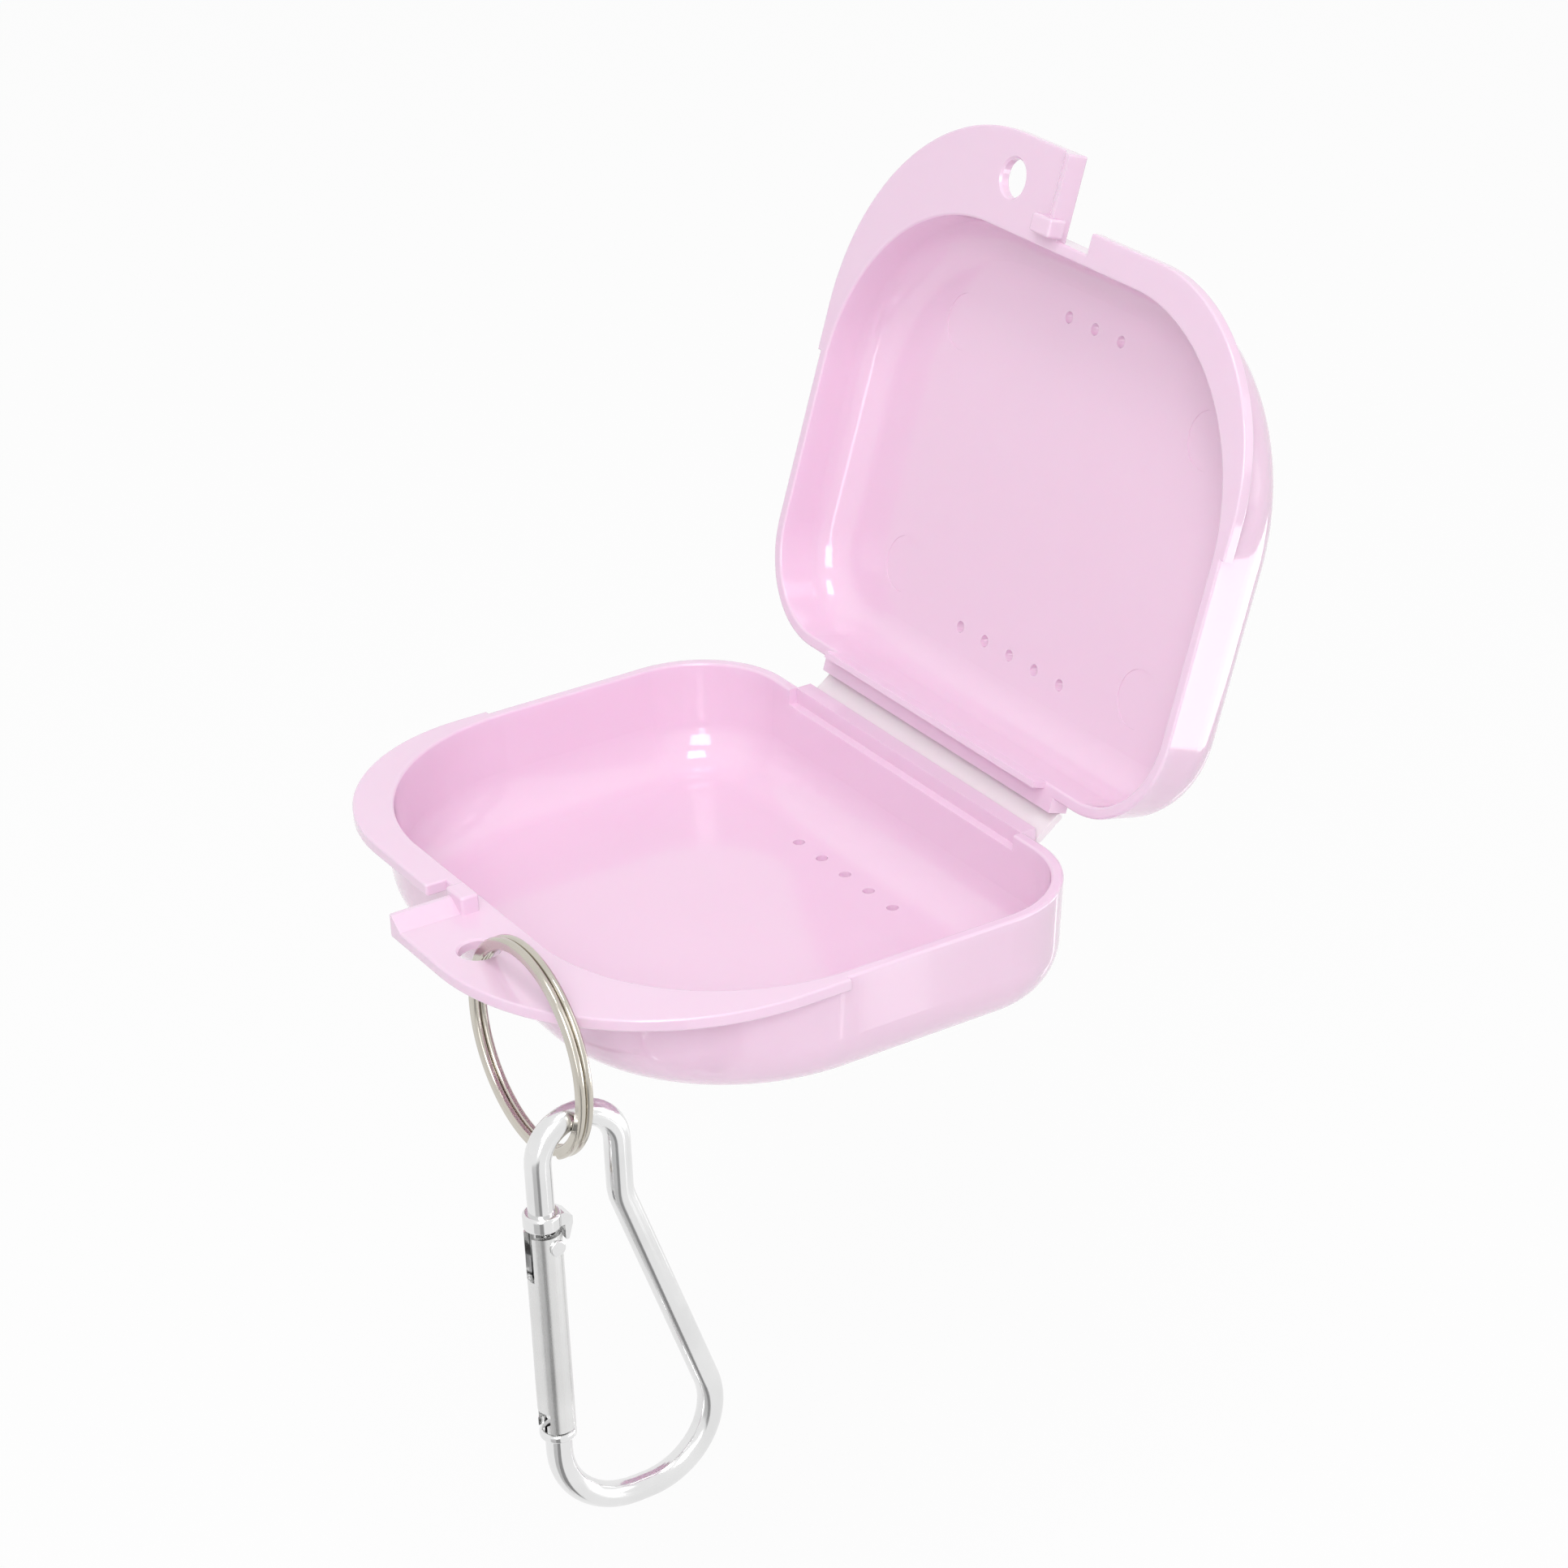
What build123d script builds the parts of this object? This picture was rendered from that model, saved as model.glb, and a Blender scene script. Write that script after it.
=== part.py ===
from build123d import *
import math
import os

# Retainer case with a snap hook on a split ring.
# Millimetres. Origin at the centre of the tray's underside, +Z up,
# +Y towards the hinge, +X towards the tray's own thumb wing.

# Case shells
cavity_half_width = 40.5
cavity_half_depth = 29.1
front_corner_radius = 25.4
back_corner_radius = 11.7
wall = 1.45
tray_height = 14.9
lid_height = 10.1
floor_thickness = 1.6
tray_edge_radius = 7.5
lid_edge_radius = 6.0
rim_round = 0.3
draft_angle = 4.0
parting_gap = 0.1

# Flanges and thumb wings at the front
flange_thickness = 1.5
flange_proud = 0.55
flange_end_y = -5.0
flange_reach = 2.6
flange_corner_radius = 24.0
flange_start_x = 5.2
flange_round = 0.25
flange_start_round = 0.3
wing_reach = 10.4
wing_corner_radius = 30.0
wing_end_x = 0.8
ridge_height = 1.4
ridge_flat = 0.6
ridge_foot = 3.0
hole_radius = 2.4
hole_inset = 28.5
hole_reach = 4.8
hole_chamfer = 0.25

# Catch tooth beside the centre of each front edge
tooth_width = 3.9
tooth_depth = 2.3
tooth_height = 2.2
tooth_gap = 0.3
tooth_round = 0.35

# Vents and moulding marks
vent_radius = 0.75
vent_pitch = 5.3
back_vent_count = 5
front_vent_count = 3
back_vent_y = 21.0
front_vent_y = -20.7
pin_mark_radius = 3.6
pin_mark_depth = 0.08
pin_mark_x = 25.0
pin_mark_back_y = 17.5
pin_mark_front_y = -14.5

# Folding strap between the halves
strap_half_length = 24.8
strap_width = 3.5
strap_thickness = 0.9
strap_gap = 0.08
ledge_reach = 3.7
ledge_thickness = 2.6
lip_height = 1.8
lip_thickness = 0.8
lip_half_length = 22.8
rebate_width = 1.05
rebate_clearance = 0.25
open_angle = 108.6

# Split ring
ring_outer_radius = 13.0
ring_wire_width = 1.5
ring_wire_thickness = 0.9
ring_wire_round = 0.4
ring_turn_gap = 0.04
ring_jog_angle = 20.0
ring_end_bearing = 300.0
ring_drop = 7.65
ring_across = 10.8

# Snap hook
hook_bearing = 45.0
hook_gap = 0.5
rod_radius = 1.55
loop_radius = 4.75
loop_flat = 0.6
loop_shift = 0.25
neck_drop = 11.8
belly_y = -16.2
belly_radius = 9.0
toe_radius = 9.6
bend_radius = 6.0
hook_height = 52.5
toe_rise = 12.7
collar_drop = 10.75
collar_length = 2.0
collar_radius = 2.2
collar_round = 0.4
stop_thickness = 1.0
stop_width = 2.4
stop_slope = 0.7
stop_tip = 0.4
stop_round = 0.15
tongue_thickness = 1.5
tongue_width = 2.6
cam_radius = 1.9

# Gate
gate_radius = 2.15
gate_bore_radius = 1.55
gate_top_gap = 0.55
rivet_from_top = 1.4
rivet_offset = 0.6
rivet_radius = 0.7
rivet_head_radius = 0.95
rivet_head_height = 0.3
running_clearance = 0.05
fork_slot_width = 1.8
fork_slot_length = 5.9
nose_gap = 0.3
nose_shoulder = 1.1
nose_neck_radius = 0.85
nose_neck_length = 1.5
nose_head_radius = 1.35
nose_head_length = 1.2
nose_clearance = 0.2
seat_thickness = 0.5
plunger_radius = 1.4
plunger_length = 2.6
cam_clearance = 0.15
spring_wire_radius = 0.2
spring_mean_radius = 1.1
spring_turns = 6

# Places worked out from the sizes above
outer_half_width = cavity_half_width + wall
outer_half_depth = cavity_half_depth + wall
flange_side = outer_half_width + flange_proud
flange_front = outer_half_depth + flange_reach
wing_front = outer_half_depth + wing_reach
hole_x = cavity_half_width - hole_inset
hole_y = -(outer_half_depth + hole_reach)
film_y = outer_half_depth + ledge_reach - wall
tray_film_z = tray_height + (parting_gap - strap_width) / 2
lid_film_z = tray_film_z + strap_width
strap_angle = open_angle / 2
ring_mid_radius = ring_outer_radius - ring_wire_width / 2
ring_x = hole_x + ring_across
ring_y = hole_y
ring_z = tray_height - ring_drop
hook_sine = math.sin(math.radians(hook_bearing))
hook_cosine = math.cos(math.radians(hook_bearing))
hook_x = ring_x + ring_mid_radius * hook_sine
rod_top = ring_z - ring_mid_radius * hook_cosine + (ring_wire_width / 2 + rod_radius + hook_gap) / hook_cosine
hook_top = rod_top + rod_radius
gate_y = ring_y - loop_radius + loop_shift
collar_top = hook_top - collar_drop - rod_radius
collar_bottom = collar_top - collar_length
gate_top = collar_bottom - gate_top_gap
rivet_y = gate_y + rivet_offset
rivet_z = gate_top - rivet_from_top
toe_z = hook_top - hook_height - rod_radius
shoulder_top = toe_z + toe_rise
gate_length = gate_top - nose_gap - shoulder_top
nose_head_top = shoulder_top + nose_neck_length + nose_head_length


def outline(half_width, half_depth, front_radius, back_radius):
    """Plan of the case: broad round front corners, tighter back ones."""
    corners = [
        (-half_width, -half_depth),
        (half_width, -half_depth),
        (half_width, half_depth),
        (-half_width, half_depth),
    ]
    radii = [front_radius, front_radius, back_radius, back_radius]
    return make_face(FilletPolyline(*corners, radius=radii, close=True))


def drafted(plan, depth, edge_radius):
    """A block that hangs below the parting plane, drafted and rounded underneath."""
    block = extrude(plan, amount=depth, dir=(0, 0, -1), taper=draft_angle)
    return fillet(block.edges().group_by(Axis.Z)[0], edge_radius)


def rounded_mouth(shell):
    """The shell with the edge of its cavity rounded where it meets the rim face."""
    mouth = []
    for edge in shell.edges().filter_by_position(Axis.Z, -rim_round / 10, rim_round / 10):
        middle = edge @ 0.5
        if abs(middle.X) < cavity_half_width + rim_round and abs(middle.Y) < cavity_half_depth + rim_round:
            mouth.append(edge)
    return fillet(mouth, rim_round)


def front_plate(start_x, side, front, corner_radius, height):
    """A flat flange that starts beside the centre and runs round a front corner."""
    corners = [
        (start_x, flange_end_y),
        (start_x, -front),
        (side, -front),
        (side, flange_end_y),
    ]
    edge = FilletPolyline(*corners, radius=[flange_start_round, corner_radius])
    plan = make_face(edge + Line(corners[3], corners[0]))
    return extrude(plan, amount=height, dir=(0, 0, 1))


def softened(plate):
    """The same plate with its top and bottom rims rounded."""
    levels = plate.edges().group_by(Axis.Z)
    return fillet(levels[0] + levels[-1], flange_round)


def catch_tooth():
    """The upright tooth that enters the other half's notch."""
    centre_y = -(outer_half_depth + tooth_gap + tooth_depth / 2)
    block = Box(tooth_width, tooth_depth, tooth_height, align=(Align.MIN, Align.CENTER, Align.MIN))
    block = fillet(block.edges().group_by(Axis.Z)[-1] + block.edges().filter_by(Axis.Z), tooth_round)
    return Pos(0, centre_y, 0) * block


def wing_ridge(wing):
    """The raised finger ridge along the wing's free end, sloping down to the wing."""
    foot = wing_end_x + ridge_flat + ridge_foot
    profile = Polyline(
        (wing_end_x, -flange_thickness / 2),
        (wing_end_x, ridge_height),
        (wing_end_x + ridge_flat, ridge_height),
        (foot, -flange_thickness / 2),
        close=True,
    )
    root_y = -(outer_half_depth + tooth_gap)
    wedge = extrude(make_face(Plane.XZ * profile), amount=2 * wing_front, dir=(0, -1, 0))
    reach = Pos(0, root_y, 0) * Box(
        4 * foot, wing_front, 4 * ridge_height, align=(Align.CENTER, Align.MAX, Align.CENTER)
    )
    return wedge & reach & (Pos(0, 0, -flange_thickness) * wing)


def eyelet():
    """The round hole through the wing, with a small bevel at both mouths."""
    bevel = Cone(hole_radius, hole_radius + 2 * hole_chamfer, 2 * hole_chamfer)
    hole = Cylinder(hole_radius, 2 * flange_thickness) + Pos(0, 0, flange_thickness / 2) * bevel
    hole += Pos(0, 0, -flange_thickness / 2) * mirror(bevel, Plane.XY)
    return Pos(hole_x, hole_y, -flange_thickness / 2) * hole


def vent_row(count, y):
    """A row of small vents, centred on the case."""
    holes = []
    for i in range(count):
        x = (i - (count - 1) / 2) * vent_pitch
        holes.append(Pos(x, y, 0) * Cylinder(vent_radius, 4 * tray_height))
    return Compound(holes)


def case_half(height, edge_radius):
    """One half with its rim face at Z = 0 and its floor below, wing towards +X."""
    outer = drafted(
        outline(outer_half_width, outer_half_depth, front_corner_radius + wall, back_corner_radius + wall),
        height,
        edge_radius,
    )
    cavity = drafted(
        outline(cavity_half_width, cavity_half_depth, front_corner_radius, back_corner_radius),
        height - floor_thickness,
        edge_radius - wall,
    )
    drop = Pos(0, 0, -flange_thickness)
    wing = front_plate(wing_end_x, flange_side, wing_front, wing_corner_radius, flange_thickness)
    tall_wing = front_plate(
        wing_end_x, flange_side, wing_front, wing_corner_radius, flange_thickness + 2 * ridge_height
    )
    flange = front_plate(flange_start_x, flange_side, flange_front, flange_corner_radius, flange_thickness)
    ledge = Pos(0, film_y - strap_thickness / 2 - strap_gap, 0) * Box(
        2 * strap_half_length, ledge_reach + wall, ledge_thickness, align=(Align.CENTER, Align.MAX, Align.MAX)
    )
    outer = fillet(outer.edges().group_by(Axis.Z)[-1], rim_round)
    shell = outer + drop * softened(wing) + mirror(drop * softened(flange), Plane.YZ) + ledge
    shell = rounded_mouth(shell - cavity)
    shell = shell + wing_ridge(tall_wing) + catch_tooth()
    shell = shell - eyelet()
    return shell - vent_row(back_vent_count, back_vent_y) - vent_row(front_vent_count, front_vent_y)


def tray():
    """The lower half, with a rebate inside its back rim for the lid's lip."""
    half = Pos(0, 0, tray_height) * case_half(tray_height, tray_edge_radius)
    rebate = Pos(0, cavity_half_depth, tray_height) * Box(
        2 * strap_half_length,
        2 * rebate_width,
        2 * (lip_height + rebate_clearance),
    )
    return half - rebate


def lid():
    """The upper half turned over, with the lip that drops into the tray's rebate."""
    half = Rot(0, 180, 0) * case_half(lid_height, lid_edge_radius)
    lip = Pos(0, cavity_half_depth, 0) * Box(
        2 * lip_half_length,
        lip_thickness,
        2 * lip_height,
        align=(Align.CENTER, Align.MIN, Align.CENTER),
    )
    half = half + lip
    inner_face = lid_height - floor_thickness
    for x in (-pin_mark_x, pin_mark_x):
        for y in (pin_mark_front_y, pin_mark_back_y):
            half = half - Pos(x, y, inner_face) * Cylinder(pin_mark_radius, 2 * pin_mark_depth)
    return Pos(0, 0, tray_height + parting_gap) * half


def strap():
    """The folding strap, shut: it stands upright behind both halves."""
    section = Rot(0, 0, 90) * SlotCenterToCenter(strap_width, strap_thickness)
    solid = extrude(Plane.YZ * section, amount=strap_half_length, both=True)
    return Pos(0, film_y, (tray_film_z + lid_film_z) / 2) * solid


def opened(shape, with_strap):
    """Swing a shut piece open about the strap's two fold lines."""
    tray_line = Axis((0, film_y, tray_film_z), (1, 0, 0))
    lid_line = Axis((0, film_y, lid_film_z), (1, 0, 0))
    if with_strap:
        shape = shape.rotate(lid_line, -strap_angle)
    return shape.rotate(tray_line, -strap_angle)


def split_ring():
    """Two flat turns of wire joined by a short jog."""
    half_pitch = (ring_wire_thickness + ring_turn_gap) / 2
    section = RectangleRounded(ring_wire_width, ring_wire_thickness, ring_wire_round)
    sweep_angle = 360 - ring_jog_angle

    def turn(offset):
        flat = Plane((ring_mid_radius, 0, offset), x_dir=(1, 0, 0), z_dir=(0, -1, 0)) * section
        return revolve(flat, Axis.Z, sweep_angle)

    first = turn(half_pitch)
    second = turn(-half_pitch)
    start = Plane((ring_mid_radius, 0, -half_pitch), x_dir=(1, 0, 0), z_dir=(0, -1, 0)) * section
    end = Rot(0, 0, -ring_jog_angle) * (
        Plane((ring_mid_radius, 0, half_pitch), x_dir=(1, 0, 0), z_dir=(0, -1, 0)) * section
    )
    jog = loft([end, start], ruled=True)
    coil = first + second + jog
    upright = Rot(90, 0, 0) * (Rot(0, 0, ring_end_bearing) * coil)
    return Pos(ring_x, ring_y, ring_z) * upright


def upright_cylinder(radius, y, bottom, top):
    """A cylinder along Z in the hook's own plane."""
    return Pos(hook_x, y, (bottom + top) / 2) * Cylinder(radius, top - bottom)


def upright_box(thickness, low_y, high_y, bottom, top):
    """A block in the hook's own plane, as thick as given across it."""
    size = (thickness, high_y - low_y, top - bottom)
    return Pos(hook_x, (low_y + high_y) / 2, (bottom + top) / 2) * Box(*size)


def across(radius, length):
    """A cylinder across the hook on the rivet's axis."""
    return Pos(hook_x, rivet_y, rivet_z) * Rot(0, 90, 0) * Cylinder(radius, length)


def hook_body():
    """The bent rod, its collar and tongue above the gate and its notched nose below."""
    right_y = gate_y + 2 * loop_radius + loop_flat
    corners = [
        (gate_y, collar_top),
        (gate_y, rod_top),
        (right_y, rod_top),
        (right_y, rod_top - neck_drop),
        (belly_y, toe_z),
        (gate_y, toe_z),
        (gate_y, shoulder_top - nose_shoulder),
    ]
    bends = [loop_radius, loop_radius, bend_radius, belly_radius, toe_radius]
    path = Pos(hook_x, 0, 0) * (Plane.YZ * FilletPolyline(*corners, radius=bends))
    rod = sweep(Plane(origin=path @ 0, z_dir=path % 0) * Circle(rod_radius), path=path)
    collar = upright_cylinder(collar_radius, gate_y, collar_top - collar_length, collar_top)
    collar = fillet(collar.edges(), collar_round)
    stop_y = gate_y + gate_radius + nose_clearance / 2
    barb = Polyline(
        (gate_y, collar_bottom),
        (stop_y, collar_bottom),
        (stop_y, rivet_z),
        (stop_y + stop_tip, rivet_z),
        (stop_y + stop_thickness, collar_bottom),
        (stop_y + stop_thickness, collar_top - collar_round - stop_slope),
        (stop_y, collar_top - collar_round),
        (gate_y, collar_top - collar_round),
        close=True,
    )
    stop = extrude(make_face(Plane.YZ * barb), amount=stop_width / 2, both=True)
    stop = Pos(hook_x, 0, 0) * stop
    stop = fillet(stop.edges().filter_by(Axis.X).sort_by(Axis.Y)[-4:], stop_round)
    half_tongue = tongue_width / 2
    tongue = upright_box(tongue_thickness, gate_y - half_tongue, gate_y + half_tongue, rivet_z, collar_top)
    tongue += across(cam_radius, tongue_thickness) & upright_box(
        2 * rod_radius, gate_y - half_tongue, gate_y + half_tongue, rivet_z - 2 * cam_radius, rivet_z
    )
    nose = upright_cylinder(gate_radius, gate_y, shoulder_top - nose_shoulder, shoulder_top)
    nose = fillet(nose.edges(), collar_round)
    neck_top = shoulder_top + nose_neck_length
    nose += upright_cylinder(nose_neck_radius, gate_y, shoulder_top - nose_shoulder, neck_top)
    head = upright_cylinder(nose_head_radius, gate_y, neck_top, neck_top + nose_head_length)
    nose += fillet(head.edges(), collar_round)
    return rod + collar + stop + tongue + nose - across(rivet_radius + running_clearance, 2 * gate_radius)


def hook_gate():
    """The tubular gate: forked at the rivet, slotted on its outer side for the nose."""
    bottom = gate_top - gate_length
    tube = upright_cylinder(gate_radius, gate_y, bottom, gate_top)
    bore_floor = nose_head_top + nose_clearance
    tube = tube - upright_cylinder(gate_bore_radius, gate_y, bore_floor + seat_thickness, gate_top)
    tube = tube - upright_cylinder(gate_bore_radius, gate_y, bottom, bore_floor)
    tube = tube - upright_box(
        fork_slot_width, gate_y - 2 * gate_radius, gate_y + 2 * gate_radius, gate_top - fork_slot_length, gate_top
    )
    head_width = 2 * (nose_head_radius + nose_clearance / 2)
    head_bottom = shoulder_top + nose_neck_length - nose_clearance
    tube = tube - upright_box(head_width, gate_y - 2 * gate_radius, gate_y, head_bottom, bore_floor)
    neck_width = 2 * (nose_neck_radius + nose_clearance)
    tube = tube - upright_box(neck_width, gate_y - 2 * gate_radius, gate_y, bottom, head_bottom)
    return tube - across(rivet_radius, 4 * gate_radius)


def gate_rivet():
    """The headed rivet that is fast in the gate's ears and turns in the tongue."""
    span = 2 * gate_radius
    rivet = across(rivet_radius, span)
    for side in (-1, 1):
        head = Pos(side * (span + rivet_head_height) / 2, 0, 0) * across(rivet_head_radius, rivet_head_height)
        outer = head.edges().sort_by(Axis.X)[0 if side < 0 else -1]
        rivet += fillet(outer, rivet_head_height / 2)
    return rivet


def gate_plunger():
    """The pin that the spring presses against the round end of the tongue."""
    top = rivet_z - cam_radius - cam_clearance
    pin = upright_cylinder(plunger_radius, gate_y, top - plunger_length, top)
    return fillet(pin.edges().group_by(Axis.Z)[0], collar_round)


def gate_spring():
    """The coil between the pin and the seat inside the gate."""
    bottom = nose_head_top + nose_clearance + seat_thickness + spring_wire_radius + running_clearance
    top = rivet_z - cam_radius - cam_clearance - plunger_length - spring_wire_radius - running_clearance
    path = Helix((top - bottom) / spring_turns, top - bottom, spring_mean_radius)
    path = Pos(hook_x, gate_y, bottom) * path
    section = Plane(origin=path @ 0, z_dir=path % 0) * RegularPolygon(spring_wire_radius, 6)
    return sweep(section, path=path, is_frenet=True)


parts = {
    "base_tray": tray(),
    "lid_shell": opened(lid(), True),
    "hinge_strap": opened(strap(), False),
    "split_ring": split_ring(),
    "hook_body": hook_body(),
    "hook_gate": hook_gate(),
    "gate_rivet": gate_rivet(),
    "gate_plunger": gate_plunger(),
    "gate_spring": gate_spring(),
}

os.makedirs("parts", exist_ok=True)
for name, solid in parts.items():
    export_step(solid, f"parts/{name}.step")
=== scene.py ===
import bpy
from mathutils import Matrix, Vector


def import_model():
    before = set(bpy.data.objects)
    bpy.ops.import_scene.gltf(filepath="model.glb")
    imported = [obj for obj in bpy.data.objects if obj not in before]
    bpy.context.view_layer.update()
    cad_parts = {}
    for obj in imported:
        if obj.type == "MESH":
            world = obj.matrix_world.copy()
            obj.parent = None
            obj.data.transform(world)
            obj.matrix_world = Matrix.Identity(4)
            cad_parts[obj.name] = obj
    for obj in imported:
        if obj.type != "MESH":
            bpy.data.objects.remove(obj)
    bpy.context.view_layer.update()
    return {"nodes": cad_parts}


# Open retainer case with a snap hook on a split ring.
# Metres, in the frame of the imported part: +Z up, +Y towards the hinge.
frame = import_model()

# Camera, solved from the photograph. The turn is the rotation vector from the world
# to a camera whose y axis points down.
CAMERA_PLACE = (0.38337, -0.21656, 0.24072)
CAMERA_TURN = (1.852, 0.9971, -0.6646)
CAMERA_LENS = 95.47
SENSOR_WIDTH = 36.0
CLIP_START = 0.01
CLIP_END = 20.0

# Colours, linear
CASE_PINK = (0.875, 0.635, 0.795)
# The paler case colour serves both the random mottling and the painted top light on the rims.
CASE_MOTTLE_AND_RIM_LIGHT = (0.880, 0.660, 0.815)
STRAP_PINK = (0.860, 0.790, 0.820)
STRAP_PALE = (0.880, 0.820, 0.850)
ALUMINIUM = (0.80, 0.80, 0.80)
GATE_SATIN = (0.76, 0.76, 0.755)
NICKEL = (0.60, 0.565, 0.50)
SPRING_STEEL = (0.55, 0.55, 0.56)
FLOOR_GREY = (0.80, 0.80, 0.80, 1.0)
BACKGROUND_WHITE = (1.0, 1.0, 1.0, 1.0)

# Plastic: painted top light makes the thin rims paler, from a level along the direction that each half's rims face.
MOTTLE_SHARE = 0.25
TRAY_RIM_NORMAL = (0.0, 0.0, 1.0)
TRAY_RIM_LEVEL = 0.0149
LID_RIM_NORMAL = (0.0, -0.9478, 0.3190)
LID_RIM_LEVEL = -0.0272
STRAP_RIM_LEVEL = 1.0  # out of reach, so the strap has no rim
RIM_FADE = 0.0022
CASE_ROUGHNESS = 0.12
STRAP_ROUGHNESS = 0.38
CASE_SCATTER = 0.0016
STRAP_SCATTER = 0.0012
SCATTER_WEIGHT = 0.25
SCATTER_RADIUS = (1.0, 0.55, 0.8)
PLASTIC_IOR = 1.48
COAT_WEIGHT = 0.5
COAT_ROUGHNESS = 0.03
SKIN_BUMP = 0.12
SKIN_DEPTH = 0.00003

# Metal
DRAWN_BUMP = 0.25
DRAWN_DEPTH = 0.00004
ALL_WAYS = (1, 1, 1)
ALONG_GATE = (1, 1, 0.04)

# Stage
FLOOR_LEVEL = -0.10
FLOOR_HALF = 2.5
GLOW_SHARE = 0.93
CARD_LIFT = 0.001
CARD_ROUGHNESS = 0.9
OVERHEAD_HEIGHT = 0.7
HORIZON_STRENGTH = 0.42
OVERHEAD_STRENGTH = 0.64

# Cards: name, corners on the floor, grey
CARDS = [
    ("dark_card", [(0.044, -0.038), (0.049, -0.062), (0.250, -0.235), (0.300, -0.140)], 0.26),
    ("grey_card", [(0.034, -0.048), (0.048, -0.062), (0.249, -0.236), (0.090, -0.300)], 0.55),
]

# Lamps: place, target, width, height, power
CASE_CENTRE = (0.0, 0.0, 0.03)
HOOK_CENTRE = (0.031, -0.030, -0.040)
SOFTBOXES = {
    "key_softbox": ((0.24, -0.13, 0.88), CASE_CENTRE, 0.28, 0.28, 1.8),
    "fill_softbox": ((0.75, -0.55, 0.65), CASE_CENTRE, 0.5, 0.5, 4.7),
    "side_softbox": ((0.55, 0.75, 0.40), CASE_CENTRE, 0.35, 0.8, 0.8),
}
WINDOW_GLINTS = {
    "window_glint_0": ((0.151, 0.044, -0.081), (0.042, -0.006, 0.008), 0.004, 0.030, 0.0007),
    "window_glint_1": ((0.160, 0.085, -0.085), (0.042, 0.020, 0.010), 0.010, 0.030, 0.0011),
    "window_glint_2": ((0.005, 0.120, -0.055), (0.040, 0.025, 0.010), 0.006, 0.050, 0.0014),
}
METAL_STRIPS = {
    "metal_strip_0": ((0.140, 0.190, -0.050), HOOK_CENTRE, 0.26, 0.07, 0.20),
    "metal_strip_1": ((0.250, -0.200, 0.060), HOOK_CENTRE, 0.05, 0.20, 0.10),
}


class Shader:
    """A small helper that adds and links the nodes of one material."""

    def __init__(self, name):
        self.material = bpy.data.materials.new(name)
        self.material.use_nodes = True
        self.tree = self.material.node_tree
        self.tree.nodes.clear()
        self.output = self.tree.nodes.new("ShaderNodeOutputMaterial")
        self.surface = self.add("BsdfPrincipled")
        self.link(self.surface, "BSDF", self.output, "Surface")
        self.coordinates = self.add("TexCoord")

    def add(self, kind, **values):
        """A new node. An underscore in a value's name stands for a space in the socket's."""
        node = self.tree.nodes.new("ShaderNode" + kind)
        for socket, value in values.items():
            node.inputs[socket.replace("_", " ")].default_value = value
        return node

    def link(self, start, output, end, socket):
        self.tree.links.new(start.outputs[output], end.inputs[socket])

    def noise(self, scale, detail=2.0, roughness=0.5, stretch=ALL_WAYS):
        """Noise in the piece's own coordinates, stretched along its axes."""
        mapping = self.add("Mapping", Scale=stretch)
        self.link(self.coordinates, "Object", mapping, "Vector")
        noise = self.add("TexNoise", Scale=scale, Detail=detail, Roughness=roughness)
        self.link(mapping, "Vector", noise, "Vector")
        return noise

    def ramp(self, source, output, low, high, low_value, high_value):
        """The source's range from low to high, remapped."""
        remap = self.tree.nodes.new("ShaderNodeMapRange")
        remap.inputs["From Min"].default_value = low
        remap.inputs["From Max"].default_value = high
        remap.inputs["To Min"].default_value = low_value
        remap.inputs["To Max"].default_value = high_value
        self.link(source, output, remap, "Value")
        return remap

    def colour_between(self, factor, first, second):
        """The surface's colour, mixed by a factor."""
        mix = self.tree.nodes.new("ShaderNodeMix")
        mix.data_type = "RGBA"
        mix.inputs["A"].default_value = (*first, 1.0)
        mix.inputs["B"].default_value = (*second, 1.0)
        self.tree.links.new(factor.outputs[0], mix.inputs["Factor"])
        self.tree.links.new(mix.outputs["Result"], self.surface.inputs["Base Color"])

    def bump(self, height, output, strength, distance):
        """A bump from the height, linked to the surface's normal."""
        bump = self.add("Bump", Strength=strength, Distance=distance)
        self.link(height, output, bump, "Height")
        self.link(bump, "Normal", self.surface, "Normal")


def shaded(colour, share):
    return tuple(channel * share for channel in colour)


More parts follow.
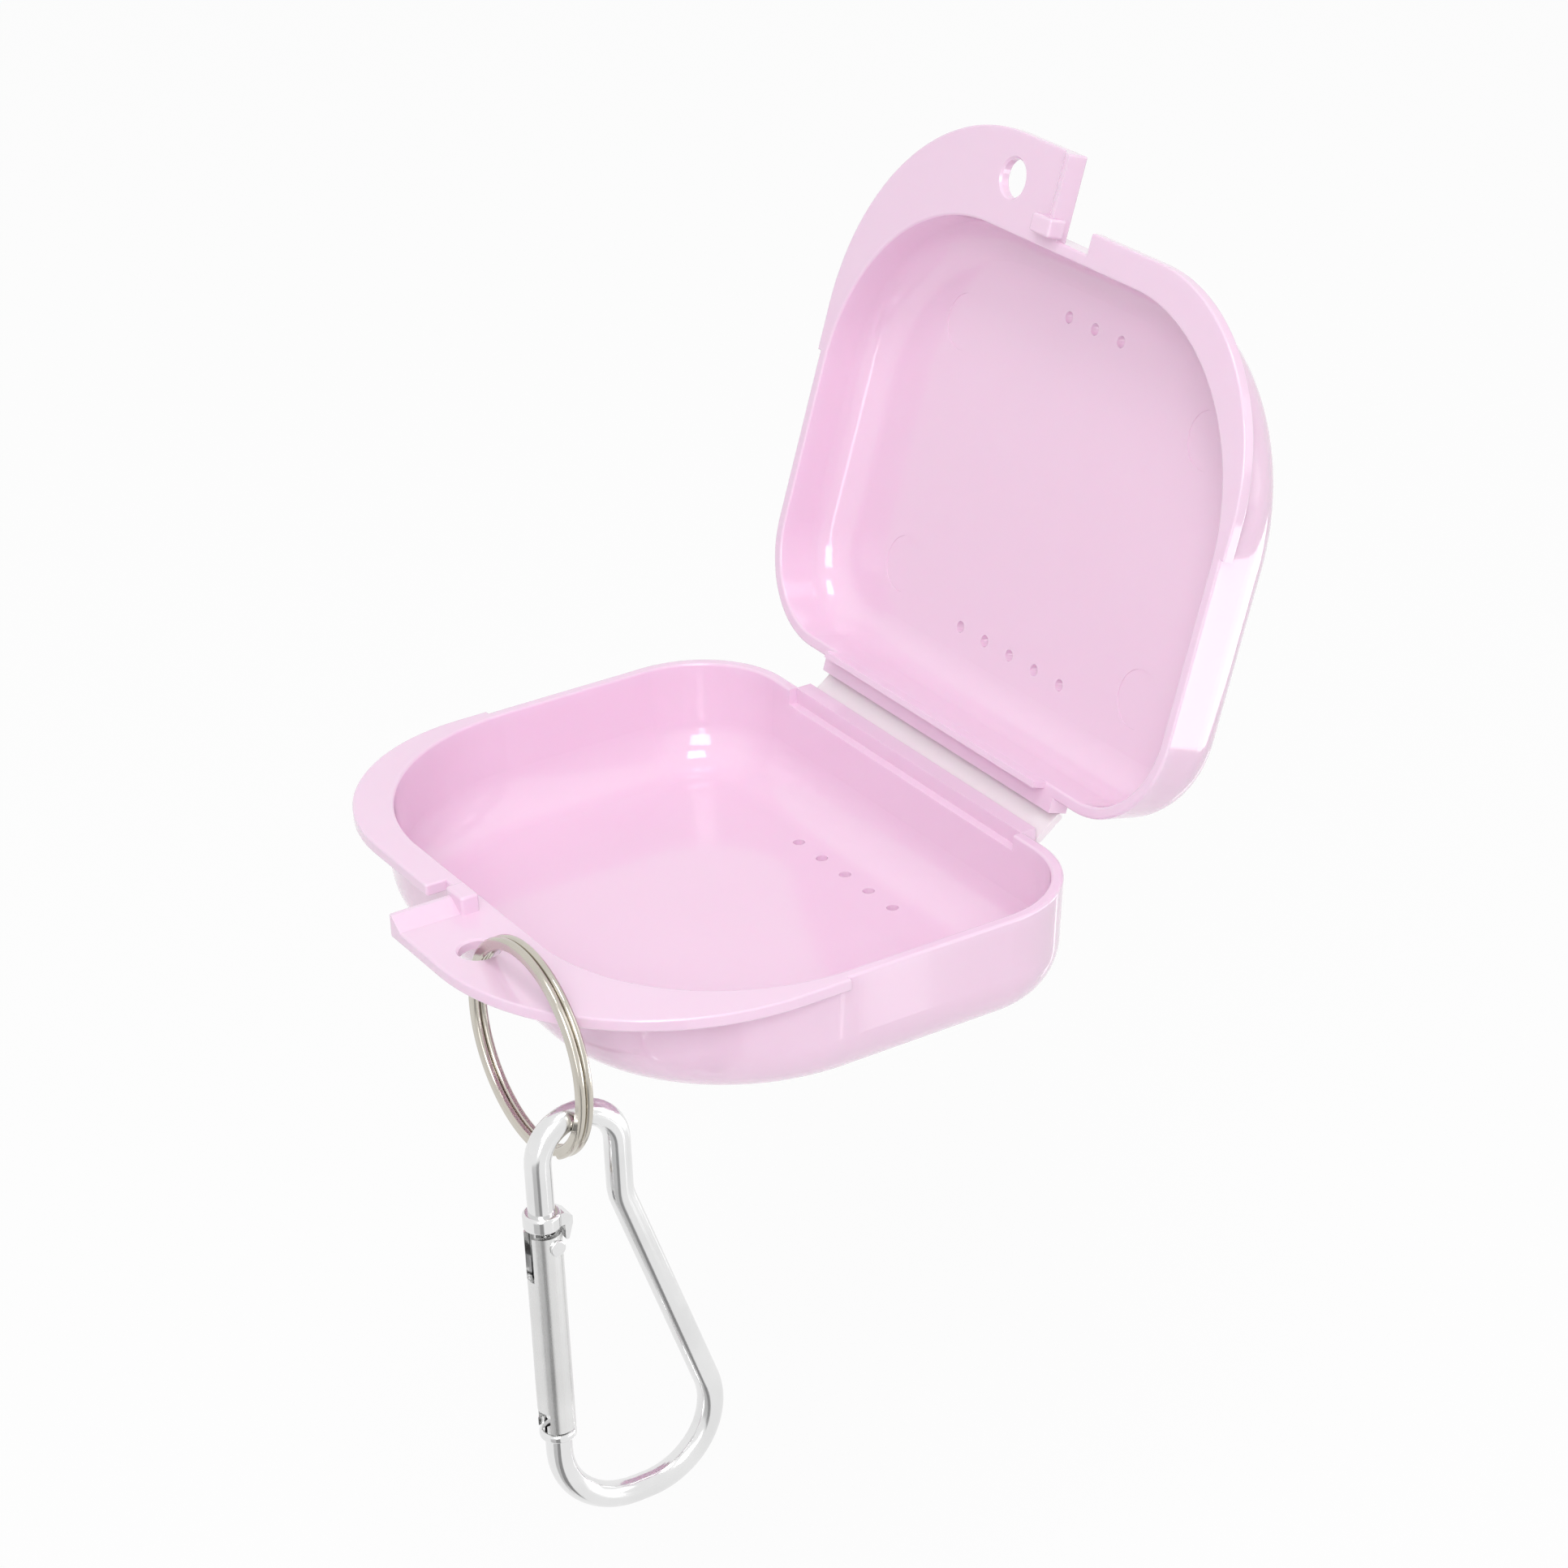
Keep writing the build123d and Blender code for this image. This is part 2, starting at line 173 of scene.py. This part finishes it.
def moulded_plastic(name, main, pale_mottle_and_rim_light, roughness, depth, rim_normal, rim_level):
    """Glossy, slightly translucent moulded plastic with faint mottling and painted top light that makes it paler
    towards the thin rims.
    """
    shader = Shader(name)
    clouds = shader.noise(55.0, detail=3.0)
    mottle = shader.ramp(clouds, "Fac", 0.35, 0.65, 0.0, MOTTLE_SHARE)
    # Painted top light: near the rims' level the colour is mixed towards the paler one.
    across_rim = shader.add("VectorMath")
    across_rim.operation = "DOT_PRODUCT"
    across_rim.inputs[1].default_value = rim_normal
    shader.link(shader.coordinates, "Object", across_rim, 0)
    rim_light_start = rim_level - RIM_FADE
    painted_rim_light = shader.ramp(across_rim, "Value", rim_light_start, rim_level, 0.0, 1.0 - MOTTLE_SHARE)
    painted_rim_light.interpolation_type = "SMOOTHSTEP"
    mottle_and_rim_light = shader.add("Math")
    mottle_and_rim_light.operation = "ADD"
    shader.link(mottle, "Result", mottle_and_rim_light, 0)
    shader.link(painted_rim_light, "Result", mottle_and_rim_light, 1)
    shader.colour_between(mottle_and_rim_light, main, pale_mottle_and_rim_light)
    haze = shader.noise(160.0, detail=4.0)
    polish = shader.ramp(haze, "Fac", 0.3, 0.7, roughness * 0.85, roughness * 1.2)
    shader.link(polish, "Result", shader.surface, "Roughness")
    skin = shader.noise(420.0, detail=2.0)
    shader.bump(skin, "Fac", SKIN_BUMP, SKIN_DEPTH)
    surface = shader.surface.inputs
    surface["Subsurface Weight"].default_value = SCATTER_WEIGHT
    surface["Subsurface Radius"].default_value = SCATTER_RADIUS
    surface["Subsurface Scale"].default_value = depth
    surface["IOR"].default_value = PLASTIC_IOR
    surface["Coat Weight"].default_value = COAT_WEIGHT
    surface["Coat Roughness"].default_value = COAT_ROUGHNESS
    return shader.material


def drawn_metal(name, colour, roughness, streak, stretch, wear):
    """Bright metal with fine drawing lines, uneven polish and faint scuffs."""
    shader = Shader(name)
    shader.surface.inputs["Metallic"].default_value = 1.0
    lines = shader.noise(streak, detail=5.0, roughness=0.65, stretch=stretch)
    polish = shader.ramp(lines, "Fac", 0.3, 0.7, roughness * 0.7, roughness * 1.35)
    shader.link(polish, "Result", shader.surface, "Roughness")
    patches = shader.noise(140.0, detail=4.0)
    tone = shader.ramp(patches, "Fac", 0.35, 0.7, 0.0, 1.0)
    shader.colour_between(tone, colour, shaded(colour, wear))
    shader.bump(lines, "Fac", DRAWN_BUMP, DRAWN_DEPTH)
    return shader.material


def dress(node, material):
    """Give a CAD node its material in place of the plain one."""
    piece = frame["nodes"][node]
    if not piece.material_slots:
        piece.data.materials.append(material)
    for slot in piece.material_slots:
        slot.material = material


def dress_all():
    """Every CAD node's material."""
    tray_plastic = moulded_plastic(
        "pink_tray_plastic", CASE_PINK, CASE_MOTTLE_AND_RIM_LIGHT, CASE_ROUGHNESS, CASE_SCATTER, TRAY_RIM_NORMAL, TRAY_RIM_LEVEL
    )
    lid_plastic = moulded_plastic(
        "pink_lid_plastic", CASE_PINK, CASE_MOTTLE_AND_RIM_LIGHT, CASE_ROUGHNESS, CASE_SCATTER, LID_RIM_NORMAL, LID_RIM_LEVEL
    )
    strap_plastic = moulded_plastic(
        "pale_strap_plastic", STRAP_PINK, STRAP_PALE, STRAP_ROUGHNESS, STRAP_SCATTER, TRAY_RIM_NORMAL, STRAP_RIM_LEVEL
    )
    hook_metal = drawn_metal("polished_aluminium", ALUMINIUM, 0.15, 90.0, ALL_WAYS, 0.93)
    gate_metal = drawn_metal("satin_aluminium", GATE_SATIN, 0.26, 900.0, ALONG_GATE, 0.92)
    ring_metal = drawn_metal("nickel_plate", NICKEL, 0.17, 500.0, ALL_WAYS, 0.9)
    rivet_metal = drawn_metal("rivet_steel", ALUMINIUM, 0.2, 500.0, ALL_WAYS, 0.9)
    spring_metal = drawn_metal("spring_steel", SPRING_STEEL, 0.3, 500.0, ALL_WAYS, 0.85)
    dress("base_tray", tray_plastic)
    dress("lid_shell", lid_plastic)
    dress("hinge_strap", strap_plastic)
    dress("split_ring", ring_metal)
    dress("hook_body", hook_metal)
    dress("hook_gate", gate_metal)
    dress("gate_rivet", rivet_metal)
    dress("gate_plunger", spring_metal)
    dress("gate_spring", spring_metal)


def seen_or_mirrored(tree):
    """A node that gives 1 for the camera's rays and for those mirrored or let through, else 0."""
    path = tree.nodes.new("ShaderNodeLightPath")
    seen = tree.nodes.new("ShaderNodeMath")
    seen.operation = "MAXIMUM"
    tree.links.new(path.outputs["Is Camera Ray"], seen.inputs[0])
    tree.links.new(path.outputs["Is Glossy Ray"], seen.inputs[1])
    seen_through = tree.nodes.new("ShaderNodeMath")
    seen_through.operation = "MAXIMUM"
    tree.links.new(seen.outputs[0], seen_through.inputs[0])
    tree.links.new(path.outputs["Is Transmission Ray"], seen_through.inputs[1])
    return seen_through


def pale_stage_material():
    """White for the camera and in reflections, yet it keeps the object's shadow."""
    material = bpy.data.materials.new("pale_stage")
    material.use_nodes = True
    tree = material.node_tree
    tree.nodes.clear()
    output = tree.nodes.new("ShaderNodeOutputMaterial")
    diffuse = tree.nodes.new("ShaderNodeBsdfDiffuse")
    diffuse.inputs["Color"].default_value = FLOOR_GREY
    glow = tree.nodes.new("ShaderNodeEmission")
    glow.inputs["Color"].default_value = BACKGROUND_WHITE
    glow.inputs["Strength"].default_value = 1.0
    share = tree.nodes.new("ShaderNodeMath")
    share.operation = "MULTIPLY"
    share.inputs[1].default_value = GLOW_SHARE
    mix = tree.nodes.new("ShaderNodeMixShader")
    link = tree.links.new
    link(seen_or_mirrored(tree).outputs[0], share.inputs[0])
    link(share.outputs[0], mix.inputs["Fac"])
    link(diffuse.outputs["BSDF"], mix.inputs[1])
    link(glow.outputs["Emission"], mix.inputs[2])
    link(mix.outputs["Shader"], output.inputs["Surface"])
    return material


def level_face(name, corners, level, material):
    """A level four-sided face of the stage."""
    mesh = bpy.data.meshes.new(name)
    mesh.from_pydata([(x, y, level) for x, y in corners], [], [(0, 1, 2, 3)])
    piece = bpy.data.objects.new(name, mesh)
    bpy.context.scene.collection.objects.link(piece)
    mesh.materials.append(material)
    return piece


def floor():
    """A wide flat floor below the hanging hook."""
    corners = [(x * FLOOR_HALF, y * FLOOR_HALF) for x, y in [(-1, -1), (1, -1), (1, 1), (-1, 1)]]
    level_face("floor", corners, FLOOR_LEVEL, pale_stage_material())


def reflected_card(name, corners, grey):
    """A card on the floor that only reflections show, for the dark streaks along the metal."""
    shader = Shader(name)
    shader.surface.inputs["Base Color"].default_value = (grey, grey, grey, 1.0)
    shader.surface.inputs["Roughness"].default_value = CARD_ROUGHNESS
    card = level_face(name, corners, FLOOR_LEVEL + CARD_LIFT, shader.material)
    card.visible_camera = False
    card.visible_diffuse = False
    card.visible_shadow = False


def world():
    """White for the camera and in reflections. Its light is even, a little dimmer near the horizon."""
    scene_world = bpy.data.worlds.new("studio")
    bpy.context.scene.world = scene_world
    scene_world.use_nodes = True
    tree = scene_world.node_tree
    tree.nodes.clear()
    output = tree.nodes.new("ShaderNodeOutputWorld")
    coordinates = tree.nodes.new("ShaderNodeTexCoord")
    split = tree.nodes.new("ShaderNodeSeparateXYZ")
    height = tree.nodes.new("ShaderNodeMapRange")
    height.inputs["From Min"].default_value = 0.0
    height.inputs["From Max"].default_value = OVERHEAD_HEIGHT
    height.inputs["To Min"].default_value = HORIZON_STRENGTH
    height.inputs["To Max"].default_value = OVERHEAD_STRENGTH
    sky = tree.nodes.new("ShaderNodeBackground")
    sky.inputs["Color"].default_value = BACKGROUND_WHITE
    white = tree.nodes.new("ShaderNodeBackground")
    white.inputs["Color"].default_value = BACKGROUND_WHITE
    white.inputs["Strength"].default_value = 1.0
    mix = tree.nodes.new("ShaderNodeMixShader")
    link = tree.links.new
    link(coordinates.outputs["Generated"], split.inputs[0])
    link(split.outputs["Z"], height.inputs["Value"])
    link(height.outputs["Result"], sky.inputs["Strength"])
    link(seen_or_mirrored(tree).outputs[0], mix.inputs["Fac"])
    link(sky.outputs[0], mix.inputs[1])
    link(white.outputs[0], mix.inputs[2])
    link(mix.outputs[0], output.inputs["Surface"])


def softbox(name, place, target, width, height, power):
    """A soft rectangular lamp that looks at the target."""
    data = bpy.data.lights.new(name, "AREA")
    data.shape = "RECTANGLE"
    data.size = width
    data.size_y = height
    data.energy = power
    lamp = bpy.data.objects.new(name, data)
    bpy.context.scene.collection.objects.link(lamp)
    lamp.location = place
    lamp.rotation_mode = "QUATERNION"
    lamp.rotation_quaternion = (Vector(target) - Vector(place)).to_track_quat("-Z", "Y")
    return lamp


def lamps():
    """Softboxes on the case, glints in the tray's outer wall and strips that only the gloss shows."""
    for name, values in SOFTBOXES.items():
        softbox(name, *values)
    for name, values in WINDOW_GLINTS.items():
        softbox(name, *values)
    for name, values in METAL_STRIPS.items():
        strip = softbox(name, *values)
        strip.visible_diffuse = False
        strip.visible_camera = False


def camera():
    """The photograph's view."""
    turn = Vector(CAMERA_TURN)
    world_to_camera = Matrix.Rotation(turn.length, 3, turn.normalized())
    right, down, forward = (Vector(row) for row in world_to_camera)
    axes = Matrix((right, -down, -forward)).transposed()
    data = bpy.data.cameras.new("camera")
    data.lens = CAMERA_LENS
    data.sensor_width = SENSOR_WIDTH
    data.sensor_fit = "HORIZONTAL"
    data.clip_start = CLIP_START
    data.clip_end = CLIP_END
    view = bpy.data.objects.new("camera", data)
    bpy.context.scene.collection.objects.link(view)
    view.matrix_world = Matrix.Translation(CAMERA_PLACE) @ axes.to_4x4()
    bpy.context.scene.camera = view


dress_all()
floor()
for card in CARDS:
    reflected_card(*card)
world()
lamps()
camera()

bpy.context.scene.view_settings.view_transform = "Standard"
